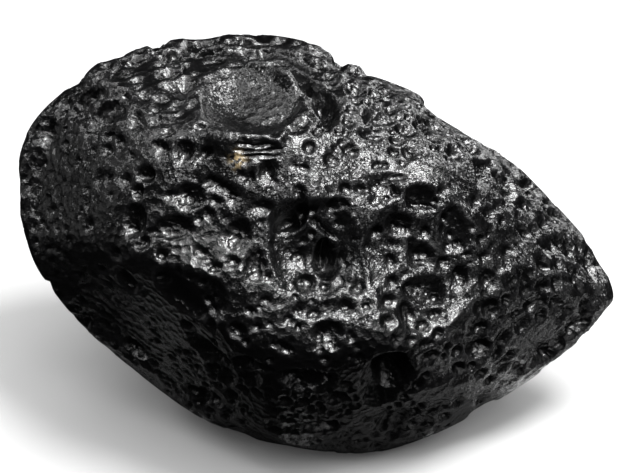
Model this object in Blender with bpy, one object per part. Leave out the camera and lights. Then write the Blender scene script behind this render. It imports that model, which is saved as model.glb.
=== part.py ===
"""Tektite stone: one lump of black natural glass, blunt at one end and pointed at the other,
with hollows and pits all over it.

The stone is worked out first in the frame of its girdle, the widest outline of its broad front:
across, up, and out to whoever faces the front. It is then leaned back by LEAN, so that the front
looks up, and set down on a worn flat face underneath. Metres, +Z up, with the long way along X
and the front towards -Y.
"""

import math
from collections import namedtuple

import bmesh
import bpy
import numpy as np

MM = 0.001

# ---------------------------------------------------------------- driving dimensions

LEAN = math.radians(35.0)        # the front looks up this far above level
FRONT_RISE = 19.5                # mm from the girdle out to the crown of the front
BACK_RISE = 18.0                 # mm from the girdle back to the crown of the back
REST_DROP = 19.5                 # mm from the girdle's centre down to the worn face
GIRDLE_PLACE = (-0.04, 0.92)     # mm along X and Y from the origin to the girdle's centre

# The girdle's outline from the pointed end over the top, in mm across and up from its centre.
GIRDLE = (
    (33.1, -5.5), (30.9, -0.6), (26.1, 4.9), (21.0, 9.7), (15.5, 12.9), (12.6, 14.9), (11.4, 16.6),
    (7.0, 18.4), (4.4, 18.9), (2.2, 20.2), (0.6, 21.8), (-3.0, 22.9), (-8.4, 23.3), (-16.2, 22.6),
    (-22.9, 20.2), (-28.4, 16.6), (-31.9, 12.6), (-33.1, 7.8), (-32.5, 2.2), (-30.2, -3.3),
    (-26.2, -8.7), (-19.5, -14.6), (-12.8, -19.3), (-6.2, -21.8), (1.6, -23.0), (6.8, -23.2),
    (12.9, -21.3), (18.3, -18.6), (24.9, -14.4), (29.8, -10.3), (32.0, -7.6),
)
FRONT_CROWN = (-2.0, -1.0)       # mm across and up
BACK_CROWN = (-6.0, -3.5)
FULLNESS = 2.2                   # of the two domes: 2 is an ellipse, and more is boxier
TIP_PINCH = 0.33                 # how much thinner the stone gets towards its point
TIP_SPREAD = math.radians(32.0)
CORNER_BLUR = math.radians(30.0)  # the outline's corners fade out over the domes

# Worn and broken faces: clock and tilt of the normal in degrees, then mm from the centre and
# mm of rounding along the face's edge. A tilt over 90 is on the back.
Facet = namedtuple("Facet", "clock tilt distance rounding")
FACETS = (
    Facet(90, 57, 19.6, 1.6),     # the level top that the bowl lies in
    Facet(228, 60, 20.6, 1.2),    # streaked bevel, low on the blunt end
    Facet(285, 54, 20.6, 2.5),    # lower edge of the front
    Facet(172, 52, 26.2, 2.5),    # smooth face of the blunt end
    Facet(28, 52, 21.2, 2.0),     # granular slope from the top to the point
    Facet(322, 50, 22.9, 2.0),    # underside of the point
    Facet(100, 128, 19.5, 2.0),   # upper back
    Facet(198, 128, 25.6, 2.5),   # back of the blunt end
    Facet(5, 135, 21.0, 2.5),     # back of the point
)
GIRDLE_HOLD = 0.25               # sine of the angle over which swells and facets leave the girdle

# Swells of the whole surface: wavelength and height in mm, and the seed of their directions.
SWELLS = ((26.0, 0.45, 11), (13.0, 0.32, 12), (7.0, 0.16, 13))
WAVES = 14                       # sine waves added together in one swell
WANDER = (6.0, 0.16, 17)         # the same for the uneven outlines of the hollows

# ---------------------------------------------------------------- hollows placed by hand

# across and up give the middle on the front, long and wide the half sizes, depth is below zero
# for a bump and lip is the height of a raised rim, all in mm. turn is in degrees. floor is 2 for
# a round hollow, and more for a flatter one with steeper walls.
Hollow = namedtuple("Hollow", "across up long wide turn depth floor lip")
HOLLOWS = (
    # basin in the middle
    Hollow(0.1, -0.3, 4.9, 5.0, 0, 1.5, 7.0, 0.12),
    # basin on the right
    Hollow(11.4, -1.5, 6.1, 8.1, 8, 0.91, 6.0, 0.0),
    # over the crease
    Hollow(-13.3, -5.5, 4.6, 2.6, -28, 1.3, 3.0, 0.0),
    # low basins
    Hollow(1.0, -6.7, 4.2, 1.4, 0, 0.74, 3.0, 0.0),
    Hollow(-0.6, -14.5, 3.6, 1.6, 0, 0.95, 3.0, 0.0),
    Hollow(-7.4, -12.7, 1.9, 1.4, 0, 0.82, 2.6, 0.0),
    Hollow(-11.6, -11.2, 2.5, 1.9, -30, 0.75, 2.6, 0.0),
    Hollow(0.3, -19.7, 2.7, 1.1, 0, 0.91, 3.0, 0.0),
    Hollow(13.7, -13.6, 2.8, 1.9, 20, 0.42, 2.6, 0.0),
    # black hollow by the edge
    Hollow(7.8, -14.4, 2.7, 4.4, 10, 2.6, 3.4, 0.25),
    # lower right
    Hollow(16.3, -11.3, 4.9, 1.3, 12, 0.38, 2.4, 0.0),
    Hollow(20.3, -13.1, 1.6, 1.4, 0, 0.42, 2.0, 0.0),
    # triangle
    Hollow(-2.7, 2.9, 2.5, 1.8, 35, 1.4, 3.6, 0.0),
    Hollow(-1.3, 3.9, 1.0, 1.5, 0, 0.62, 2.6, 0.0),
    # beside it
    Hollow(2.7, 3.5, 1.6, 1.1, 0, 0.37, 2.6, 0.0),
    # eye
    Hollow(1.3, -1.8, 1.9, 2.2, 0, 1.7, 4.5, 0.12),
    # pits in the middle
    Hollow(-1.1, -4.0, 1.4, 0.9, 0, 0.65, 2.2, 0),
    Hollow(1.3, -9.4, 1.8, 1.5, 0, 0.91, 2.4, 0),
    Hollow(-3.3, -10.6, 1.3, 0.8, -20, 0.5, 2.2, 0),
    # right hand pits
    Hollow(7.0, 5.6, 1.9, 1.5, 0, 0.77, 2.8, 0),
    Hollow(11.3, 4.9, 2.1, 1.6, -20, 0.88, 2.8, 0),
    Hollow(8.8, 2.2, 1.8, 1.4, 0, 0.76, 2.4, 0),
    Hollow(15.0, 1.5, 1.9, 2.7, 12, 0.96, 2.8, 0),
    Hollow(11.3, -1.3, 1.5, 1.4, 0, 0.9, 2.6, 0.06),
    Hollow(11.9, -5.0, 2.6, 1.6, -15, 0.88, 3.2, 0.12),
    Hollow(15.8, -3.7, 1.2, 1.2, 0, 0.87, 2.3, 0),
    Hollow(18.6, -3.9, 1.2, 1.1, 0, 0.68, 2.2, 0),
    Hollow(18.1, -6.6, 1.9, 1.3, 0, 0.77, 2.8, 0.06),
    Hollow(7.7, -6.2, 1.3, 1.1, 0, 0.8, 2.4, 0),
    Hollow(10.1, -7.6, 1.0, 1.7, 0, 0.67, 2.4, 0),
    Hollow(15.0, -10.2, 1.3, 0.9, 0, 0.47, 2.2, 0),
    Hollow(12.1, -11.9, 1.3, 0.8, 10, 0.46, 2.2, 0),
    Hollow(18.7, 3.1, 1.2, 0.9, 0, 0.66, 2.2, 0),
    Hollow(22.9, 4.0, 1.5, 0.9, -25, 0.6, 2.2, 0),
    Hollow(20.7, -0.7, 1.1, 1.0, 0, 0.62, 2.2, 0),
    Hollow(24.2, -6.2, 1.5, 1.0, 0, 0.62, 2.2, 0),
    Hollow(21.2, -4.1, 1.1, 0.8, 0, 0.51, 2.2, 0),
    Hollow(21.8, -7.9, 1.3, 1.0, 0, 0.53, 2.2, 0),
    # left hand pits
    Hollow(-17.8, 7.3, 1.2, 1.1, 0, 1.1, 2.4, 0.08),
    Hollow(-13.0, 5.0, 1.8, 1.7, 0, 0.99, 2.8, 0.05),
    Hollow(-9.6, 6.1, 2.0, 1.0, -22, 0.8, 2.8, 0),
    Hollow(-15.0, 1.7, 2.2, 1.4, -4, 0.92, 2.8, 0.05),
    Hollow(-19.0, 2.5, 1.7, 2.1, -20, 0.88, 2.6, 0.05),
    Hollow(-23.0, 6.9, 0.8, 1.1, -10, 0.47, 2.2, 0),
    Hollow(-20.0, -3.9, 1.5, 1.8, -15, 1.2, 3.0, 0),
    Hollow(-7.9, 1.0, 1.5, 1.6, 0, 0.74, 2.4, 0),
    Hollow(-6.6, -2.5, 1.4, 1.9, 0, 0.78, 2.4, 0),
    Hollow(-5.6, 3.7, 1.5, 1.0, 0, 0.57, 2.4, 0),
    Hollow(-11.5, -0.9, 1.1, 0.9, -20, 0.56, 2.2, 0),
    Hollow(-9.7, -12.0, 0.9, 1.3, 0, 0.75, 2.4, 0),
    Hollow(2.0, -16.5, 1.3, 1.2, 0, 0.7, 2.2, 0),
    # on the bevel
    Hollow(-19.5, -11.5, 1.7, 1.5, -45, 1.3, 2.6, 0),
    Hollow(-12.7, -16.5, 1.8, 1.2, -35, 1.2, 2.6, 0),
    # bowl
    Hollow(-7.1, 14.5, 5.4, 5.6, 0, 2, 4.0, 0.5),
    # swell in the bowl
    Hollow(-5.1, 16.6, 3.9, 4.8, 0, -1.3, 2.0, 0),
    # ring round it
    Hollow(-12.7, 16.1, 1.9, 0.9, 60, -0.6, 2.0, 0),
    Hollow(-11.2, 17.8, 2.2, 1.0, 30, -0.8, 2.0, 0),
    Hollow(-8.5, 18.3, 2.5, 1.1, 5, -0.9, 2.0, 0),
    Hollow(-5.7, 18.1, 2.3, 1.1, -12, -0.9, 2.0, 0),
    Hollow(-3.2, 16.8, 2.3, 1.0, -42, -0.8, 2.0, 0),
    # groove round it
    Hollow(-4.7, 19.4, 1.9, 1.1, -10, 1, 2.2, 0),
    Hollow(-2.5, 18.2, 2.5, 1.4, -30, 1.8, 2.6, 0),
    Hollow(-0.4, 16.7, 2.5, 1.6, -45, 2.1, 2.6, 0),
    Hollow(1.3, 14.6, 3.4, 1.5, 96, 1.9, 2.6, 0),
    # ridge beyond it
    Hollow(-2.1, 20.3, 3.4, 0.9, -38, -0.9, 2.0, 0),
    Hollow(0.4, 21.0, 2.6, 0.9, -55, -0.8, 2.0, 0),
    # knob
    Hollow(4.3, 18.8, 1.2, 1.4, 0, -1.1, 3.0, 0),
    # slots by the edge
    Hollow(-6.7, 22.3, 2.3, 0.8, 0, 1.5, 2.6, 0),
    Hollow(-15.3, 20.9, 1.1, 0.9, 0, 1, 2.2, 0),
    Hollow(-5.7, 20.4, 0.9, 1.2, 0, 1, 2.2, 0),
    # dents behind the ridge
    Hollow(3.9, 16.5, 1.1, 0.9, 0, 0.9, 2.4, 0),
    Hollow(3.9, 14.4, 1.2, 1.0, 0, 0.9, 2.4, 0),
    Hollow(6.8, 13.9, 2.4, 1.2, -10, 0.9, 2.6, 0),
    Hollow(6.0, 11.6, 1.7, 0.8, -10, 0.7, 2.4, 0),
    Hollow(3.6, 9.8, 1.2, 0.8, 0, 0.6, 2.2, 0),
    Hollow(9.8, 12.2, 1.4, 1.0, -20, 0.6, 2.2, 0),
    # top of the blunt end
    Hollow(-13.6, 10.0, 1.4, 1.3, -20, 0.8, 2.4, 0),
    Hollow(-19.0, 13.4, 1.1, 1.2, 0, 0.7, 2.2, 0),
    Hollow(-20.7, 18.5, 1.5, 1.0, 10, 0.6, 2.2, 0),
    Hollow(-23.3, 16.0, 1.2, 1.0, 20, 0.7, 2.2, 0),
    Hollow(-16.2, 18.4, 1.4, 1.4, 0, 0.8, 2.2, 0),
    Hollow(-11.0, 20.0, 1.4, 1.2, 0, 0.5, 2.2, 0),
    Hollow(-16.6, 15.3, 1.2, 1.2, 0, 0.6, 2.2, 0),
)
LAYERS = (2.3, 1.25)             # half sizes in mm that part basins, hollows and pits; they add up
PIT_FLOOR = 2.2                  # the floor of every seeded pit
PIT_UNEVEN = (0.85, 1.15)        # from and to which its width is stretched
PIT_GAP = 0.68                   # least distance between two pits, as a share of their radii
BARE_SHARE = 0.4                 # depth over half width past which a hollow has no seeded pits
LIP_RING, LIP_WIDTH, LIP_REACH = 1.1, 0.17, 1.6   # a raised rim's radius, width and end

# ---------------------------------------------------------------- seeded pits

# count, smallest and largest radius in mm, depth and width as shares of the radius, seed
Pits = namedtuple("Pits", "count small large share slim seed")
PITS = (
    Pits(60, 2.4, 4.2, 0.14, 0.85, 20),
    Pits(150, 1.3, 2.2, 0.42, 0.9, 21),
    Pits(400, 0.9, 1.25, 0.62, 0.9, 22),
)
# Smooth places: across, up and out in mm, then a radius in mm.
SMOOTH = (
    (-29.0, 3.0, 8.0, 9.0),
    (-20.0, -12.0, 8.0, 9.0),
    (1.0, -17.0, 12.0, 8.5),
    (-7.0, 15.0, 12.0, 6.5),
    (32.5, -5.4, 0.0, 3.0),
)

# Places drawn by hand, in the same way: only pits under DRAWN_LIMIT are seeded there.
DRAWN = (
    (-15.0, 1.0, 16.0, 12.0),
    (3.0, -5.0, 19.0, 14.0),
    (15.0, 0.0, 15.0, 9.0),
)
DRAWN_LIMIT = 1.3                # mm

LEVEL_STEP = 0.01                # of a unit direction, for the surface's slope
CANDIDATES = 12                  # places tried for each seeded pit

BALL_LEVELS = 6                  # of the ball that the stone is shaped from
TRIANGLES = 9900                 # of the thinned stone, before its worn face is cut
WELD = 0.06                      # mm between points of the worn face's rim that become one
BLOCK = 120.0                    # mm along the sides of the block that cuts the worn face

GLASS_COLOUR = (0.012, 0.012, 0.013, 1.0)
GLASS_ROUGHNESS = 0.22


# ---------------------------------------------------------------- outline

def closed_curve(points, steps=24):
    """Points along the smooth closed curve through the given ones (Catmull-Rom)."""
    points = np.array(points)
    before, here, after, last = (np.roll(points, k, axis=0)[:, None] for k in (1, 0, -1, -2))
    t = np.linspace(0, 1, steps, endpoint=False)[None, :, None]
    curve = 0.5 * (2 * here + (after - before) * t
                   + (2 * before - 5 * here + 4 * after - last) * t ** 2
                   + (3 * here - before - 3 * after + last) * t ** 3)
    return curve.reshape(-1, 2)


def reach_tables(count=720):
    """Clock angles, the outline's distance from the centre at each, and the same blurred."""
    curve = closed_curve(GIRDLE)
    clock = np.arctan2(curve[:, 1], curve[:, 0])
    order = np.argsort(clock)
    reach = np.hypot(curve[:, 0], curve[:, 1])
    angles = np.linspace(-math.pi, math.pi, count, endpoint=False)
    sharp = np.interp(angles, clock[order], reach[order], period=2 * math.pi)
    apart = np.minimum(angles + math.pi, math.pi - angles)
    kernel = np.exp(-(apart / CORNER_BLUR) ** 2)
    blurred = np.fft.irfft(np.fft.rfft(sharp) * np.fft.rfft(kernel / kernel.sum()), count)
    return angles, sharp, blurred


# ---------------------------------------------------------------- the plain stone

def domes(ways):
    """Two domes on the outline, for unit directions: a superellipse from girdle to crown."""
    angles, sharp, blurred = reach_tables()
    clock = np.arctan2(ways[:, 1], ways[:, 0])
    rise = np.abs(ways[:, 2]).clip(0, 1)
    run = np.sqrt(1 - rise ** 2)
    stretch = (run ** FULLNESS + rise ** FULLNESS) ** (-1 / FULLNESS)
    run, rise = run * stretch, rise * stretch
    corner = np.interp(clock, angles, sharp, period=2 * math.pi)
    soft = np.interp(clock, angles, blurred, period=2 * math.pi)
    reach = soft + (corner - soft) * run ** 3
    front = ways[:, 2] > 0
    crown = np.where(front[:, None], FRONT_CROWN, BACK_CROWN)
    ring = np.column_stack([np.cos(clock), np.sin(clock)]) * reach[:, None]
    flat = ring * run[:, None] + crown * (1 - run[:, None])
    tip_clock = math.atan2(GIRDLE[0][1], GIRDLE[0][0])
    from_tip = (clock - tip_clock + math.pi) % (2 * math.pi) - math.pi
    pinch = 1 - TIP_PINCH * run * np.exp(-(from_tip / TIP_SPREAD) ** 2)
    out = np.where(front, FRONT_RISE, -BACK_RISE) * rise * pinch
    return np.column_stack([flat, out])


def facet_normal(facet):
    clock, tilt = math.radians(facet.clock), math.radians(facet.tilt)
    return np.array([math.cos(clock) * math.sin(tilt), math.sin(clock) * math.sin(tilt), math.cos(tilt)])


def worn(points, facets, hold):
    """The points with each facet's plane cut and its edge rounded. hold is 0 where none is cut."""
    for facet in facets:
        normal = facet_normal(facet)
        past = points @ normal - facet.distance
        edge = (past + facet.rounding) ** 2 / (4 * facet.rounding)
        cut = np.where(past > facet.rounding, past, np.where(past < -facet.rounding, 0, edge))
        points = points - (hold * cut)[:, None] * normal
    return points


def waves(points, wavelength, seed):
    """Sine waves in seeded directions added together, with a spread of about one."""
    random = np.random.default_rng(seed)
    facing = random.normal(size=(WAVES, 3))
    facing *= 2 * math.pi / wavelength / np.linalg.norm(facing, axis=1, keepdims=True)
    phase = random.uniform(0, 2 * math.pi, WAVES)
    return np.sin(points @ facing.T + phase).sum(axis=1) * math.sqrt(2 / WAVES)


def plain_stone(ways):
    """The stone without its hollows: the domes with their swells, then the worn faces."""
    points = domes(ways)
    hold = (np.abs(ways[:, 2]) / GIRDLE_HOLD).clip(0, 1)
    swell = sum(height * waves(points, wavelength, seed) for wavelength, height, seed in SWELLS)
    return worn(points + (hold * swell)[:, None] * ways, FACETS, hold)


def unit(vectors):
    return vectors / np.linalg.norm(vectors, axis=-1, keepdims=True)


def patches(ways):
    """The plain stone's points, outward normals and how much area each direction stands for."""
    aside = unit(np.cross(ways, (0.31, 0.52, 0.79)))
    other = np.cross(ways, aside)
    step = LEVEL_STEP
    along = plain_stone(unit(ways + step * aside)) - plain_stone(unit(ways - step * aside))
    across = plain_stone(unit(ways + step * other)) - plain_stone(unit(ways - step * other))
    normals = np.cross(along, across)
    return plain_stone(ways), unit(normals), np.linalg.norm(normals, axis=1)


# ---------------------------------------------------------------- hollows and pits

def front_sites(spots):
    """Points and outward normals of the plain stone's front nearest to each (across, up)."""
    clock, rise = np.meshgrid(np.linspace(-math.pi, math.pi, 360, endpoint=False),
                              np.linspace(0, math.pi / 2, 120))
    clock, rise = clock.ravel(), rise.ravel()
    ways = np.column_stack([np.cos(clock) * np.cos(rise), np.sin(clock) * np.cos(rise), np.sin(rise)])
    flat = plain_stone(ways)[:, :2]
    nearest = [np.argmin(((flat - spot) ** 2).sum(axis=1)) for spot in spots]
    centres, normals, _ = patches(ways[nearest])
    return centres, normals


def dig(points, centre, normal, long, wide, turn, depth, floor, lip):
    """Where and how deep one oval hollow cuts points that are sorted by their first coordinate.

    The depth is depth * (1 - r ** floor) inside the rim at r = 1, less a raised lip round it.
    """
    reach = max(long, wide) * (LIP_REACH if lip else 1)
    span = slice(*np.searchsorted(points[:, 0], (centre[0] - reach, centre[0] + reach)))
    level = unit(np.cross((0.0, 1.0, 0.0), normal))
    upward = np.cross(normal, level)
    angle = math.radians(turn)
    major = math.cos(angle) * level + math.sin(angle) * upward
    minor = np.cross(normal, major)
    apart = points[span] - centre
    aside = apart @ normal / (2 * max(long, wide))
    radius = np.sqrt((apart @ major / long) ** 2 + (apart @ minor / wide) ** 2 + aside ** 2)
    cut = depth * (1 - radius ** floor).clip(0, 1)
    if lip:
        cut -= lip * np.exp(-((radius - LIP_RING) / LIP_WIDTH) ** 2)
    return span, cut


def scattered(pits, taken_centres, taken_radii):
    """Seeded centres, normals and radii, evenly spread and clear of the hollows already there."""
    random = np.random.default_rng(pits.seed)
    ways = random.normal(size=(pits.count * CANDIDATES, 3))
    centres, normals, area = patches(unit(ways))
    kept = random.uniform(size=len(area)) < area / area.max()
    for across, up, out, size in SMOOTH + (DRAWN if pits.large > DRAWN_LIMIT else ()):
        kept &= np.linalg.norm(centres - (across, up, out), axis=1) > size
    centres, normals = centres[kept], normals[kept]
    radii = pits.small + (pits.large - pits.small) * random.uniform(size=len(centres)) ** 2
    kept_centres, kept_radii, kept = list(taken_centres), list(taken_radii), []
    for index, radius in enumerate(radii):
        if len(kept) == pits.count:
            break
        gap = np.linalg.norm(np.array(kept_centres) - centres[index], axis=1)
        if (gap > PIT_GAP * (pits.slim * radius + np.array(kept_radii))).all():
            kept.append(index)
            kept_centres.append(centres[index])
            kept_radii.append(pits.slim * radius)
    return centres[kept], normals[kept], radii[kept]


def layer_of(size):
    """1 for basins, 2 for hollows in them and 3 for pits in those."""
    return 1 + sum(size <= limit for limit in LAYERS)


def hollowed(points):
    """How deep each point of the plain stone is cut: a row for the basins placed by hand, which
    add up, less all that is raised, then a row for each layer, which is as deep as its deepest.
    """
    wavelength, shift, seed = WANDER
    shifted = points + shift * np.column_stack([waves(points, wavelength, seed + k) for k in range(3)])
    order = np.argsort(shifted[:, 0])
    shifted = shifted[order]
    cuts = np.zeros((4, len(points)))
    taken = [([(0, 0, 0)], [0]) for _ in cuts]

    def add(layer, centre, normal, shape):
        span, cut = dig(shifted, centre, normal, *shape)
        cuts[0, span] += cut.clip(None, 0)
        deep = cut.clip(0, None)
        cuts[layer, span] = np.maximum(cuts[layer, span], deep) if layer else cuts[0, span] + deep
        taken[layer][0].append(centre)
        taken[layer][1].append(min(shape[0], shape[1]))

    centres, normals = front_sites([(hollow.across, hollow.up) for hollow in HOLLOWS])
    for hollow, centre, normal in zip(HOLLOWS, centres, normals):
        layer = layer_of(max(hollow.long, hollow.wide))
        add(0 if layer == 1 else layer, centre, normal, hollow[2:])
        if hollow.depth > BARE_SHARE * min(hollow.long, hollow.wide):
            taken[-1][0].append(centre)
            taken[-1][1].append(min(hollow.long, hollow.wide))
    for pits in PITS:
        layer = layer_of(pits.large)
        centres, normals, radii = scattered(pits, *taken[layer])
        random = np.random.default_rng(pits.seed + 100)
        for centre, normal, radius in zip(centres, normals, radii):
            wide, turn = radius * pits.slim * random.uniform(*PIT_UNEVEN), random.uniform(-90, 90)
            add(layer, centre, normal, (radius, wide, turn, pits.share * radius, PIT_FLOOR, 0))
    depth = np.empty_like(cuts)
    depth[:, order] = cuts
    return depth


# ---------------------------------------------------------------- the stone

def stone_surface(ways):
    """The finished surface in the girdle's frame: the plain stone less its hollows."""
    points, normals, _ = patches(ways)
    return points - hollowed(points).sum(axis=0)[:, None] * normals


def set_down(points):
    """Leaned back by LEAN and sunk to the worn face, in mm from the origin."""
    across, up, out = points.T
    sine, cosine = math.sin(LEAN), math.cos(LEAN)
    leaned = np.column_stack([across, up * sine - out * cosine, up * cosine + out * sine + REST_DROP])
    return leaned + (*GIRDLE_PLACE, 0)


def glass_material():
    material = bpy.data.materials.new("tektite_glass")
    material.use_nodes = True
    shader = material.node_tree.nodes["Principled BSDF"]
    shader.inputs["Base Color"].default_value = GLASS_COLOUR
    shader.inputs["Roughness"].default_value = GLASS_ROUGHNESS
    shader.inputs["Metallic"].default_value = 0.0
    shader.inputs["IOR"].default_value = 1.5
    return material


def ground_block():
    """A cutter whose top is the ground: what it takes off leaves the face the stone rests on."""
    block = bmesh.new()
    bmesh.ops.create_cube(block, size=BLOCK * MM)
    bmesh.ops.translate(block, verts=block.verts, vec=(0, 0, -BLOCK * MM / 2))
    mesh = bpy.data.meshes.new("ground_block")
    block.to_mesh(mesh)
    block.free()
    cutter = bpy.data.objects.new("ground_block", mesh)
    cutter.hide_render = True
    cutter.display_type = "WIRE"
    bpy.context.scene.collection.objects.link(cutter)
    return cutter


def tektite_stone():
    """A ball of fine triangles moved onto the stone's surface, then thinned where it is even."""
    ball = bmesh.new()
    bmesh.ops.create_icosphere(ball, subdivisions=BALL_LEVELS, radius=1.0)
    ways = unit(np.array([vertex.co for vertex in ball.verts]))
    for vertex, place in zip(ball.verts, set_down(stone_surface(ways)) * MM):
        vertex.co = place
    fine = len(ball.faces)
    mesh = bpy.data.meshes.new("tektite_stone")
    ball.to_mesh(mesh)
    ball.free()
    mesh.shade_smooth()
    mesh.materials.append(glass_material())
    stone = bpy.data.objects.new("tektite_stone", mesh)
    bpy.context.scene.collection.objects.link(stone)
    thin = stone.modifiers.new("thin", "DECIMATE")
    thin.ratio = TRIANGLES / fine
    wear = stone.modifiers.new("worn face", "BOOLEAN")
    wear.object = ground_block()
    weld = stone.modifiers.new("clean rim", "WELD")
    weld.merge_threshold = WELD * MM
    return stone


def main():
    for old in list(bpy.data.objects):
        bpy.data.objects.remove(old, do_unlink=True)
    tektite_stone()


main()
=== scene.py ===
"""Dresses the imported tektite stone: pitted black glass, a pale floor, soft lights and a camera.

The stone's surface is worked out in the frame of its girdle, the widest outline of its broad
front: across, up, and out to whoever faces the front, in mm. It is then leaned back and moved to
where the solid stone lies, in metres.
"""

import math
from collections import namedtuple

import bpy
import numpy as np
from mathutils import Matrix, Vector


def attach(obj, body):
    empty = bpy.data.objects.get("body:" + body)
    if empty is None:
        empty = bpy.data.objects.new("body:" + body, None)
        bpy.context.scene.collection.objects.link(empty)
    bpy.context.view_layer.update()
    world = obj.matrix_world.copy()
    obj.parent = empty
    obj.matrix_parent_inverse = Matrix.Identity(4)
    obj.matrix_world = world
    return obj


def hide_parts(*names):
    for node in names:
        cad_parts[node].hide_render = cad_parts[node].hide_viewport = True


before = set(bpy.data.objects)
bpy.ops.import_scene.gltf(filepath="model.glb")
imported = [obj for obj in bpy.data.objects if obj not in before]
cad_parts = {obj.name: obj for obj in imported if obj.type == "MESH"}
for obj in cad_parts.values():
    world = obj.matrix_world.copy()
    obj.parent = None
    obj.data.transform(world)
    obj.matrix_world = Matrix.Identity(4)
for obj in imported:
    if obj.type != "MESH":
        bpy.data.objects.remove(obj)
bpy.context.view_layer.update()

bl_info = {
    "name": "Tektite Stone",
    "version": (1, 0, 0),
    "blender": (4, 5, 0),
    "location": "3D View > Sidebar > Tektite",
    "description": "Makes a pitted stone of black natural glass on a pale floor",
    "category": "Add Mesh",
}

MM = 0.001
SOLID_NODE = "tektite_stone"

# ---------------------------------------------------------------- the stone's driving sizes

LEAN = math.radians(35.0)        # the front looks up this far above level
FRONT_RISE = 19.5                # mm from the girdle out to the crown of the front
BACK_RISE = 18.0                 # mm from the girdle back to the crown of the back
REST_DROP = 19.5                 # mm from the girdle's centre down to the worn face
GIRDLE_PLACE = (-0.04, 0.92)     # mm along X and Y from the origin to the girdle's centre

# The girdle's outline from the pointed end over the top, in mm across and up from its centre.
GIRDLE = (
    (33.1, -5.5), (30.9, -0.6), (26.1, 4.9), (21.0, 9.7), (15.5, 12.9), (12.6, 14.9), (11.4, 16.6),
    (7.0, 18.4), (4.4, 18.9), (2.2, 20.2), (0.6, 21.8), (-3.0, 22.9), (-8.4, 23.3), (-16.2, 22.6),
    (-22.9, 20.2), (-28.4, 16.6), (-31.9, 12.6), (-33.1, 7.8), (-32.5, 2.2), (-30.2, -3.3),
    (-26.2, -8.7), (-19.5, -14.6), (-12.8, -19.3), (-6.2, -21.8), (1.6, -23.0), (6.8, -23.2),
    (12.9, -21.3), (18.3, -18.6), (24.9, -14.4), (29.8, -10.3), (32.0, -7.6),
)
FRONT_CROWN = (-2.0, -1.0)       # mm across and up
BACK_CROWN = (-6.0, -3.5)
FULLNESS = 2.2                   # of the two domes: 2 is an ellipse, and more is boxier
TIP_PINCH = 0.33                 # how much thinner the stone gets towards its point
TIP_SPREAD = math.radians(32.0)
CORNER_BLUR = math.radians(30.0)  # the outline's corners fade out over the domes

# Worn and broken faces: clock and tilt of the normal in degrees, then mm from the centre and
# mm of rounding along the face's edge. A tilt over 90 is on the back.
Facet = namedtuple("Facet", "clock tilt distance rounding")
FACETS = (
    Facet(90, 57, 19.6, 1.6),     # the level top that the bowl lies in
    Facet(228, 60, 20.6, 1.2),    # streaked bevel, low on the blunt end
    Facet(285, 54, 20.6, 2.5),    # lower edge of the front
    Facet(172, 52, 26.2, 2.5),    # smooth face of the blunt end
    Facet(28, 52, 21.2, 2.0),     # granular slope from the top to the point
    Facet(322, 50, 22.9, 2.0),    # underside of the point
    Facet(100, 128, 19.5, 2.0),   # upper back
    Facet(198, 128, 25.6, 2.5),   # back of the blunt end
    Facet(5, 135, 21.0, 2.5),     # back of the point
)
GIRDLE_HOLD = 0.25               # sine of the angle over which swells and facets leave the girdle

# Swells of the whole surface: wavelength and height in mm, and the seed of their directions.
SWELLS = ((26.0, 0.45, 11), (13.0, 0.32, 12), (7.0, 0.16, 13))
WAVES = 14                       # sine waves added together in one swell
WANDER = (6.0, 0.16, 17)         # the same for the uneven outlines of the hollows
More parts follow.
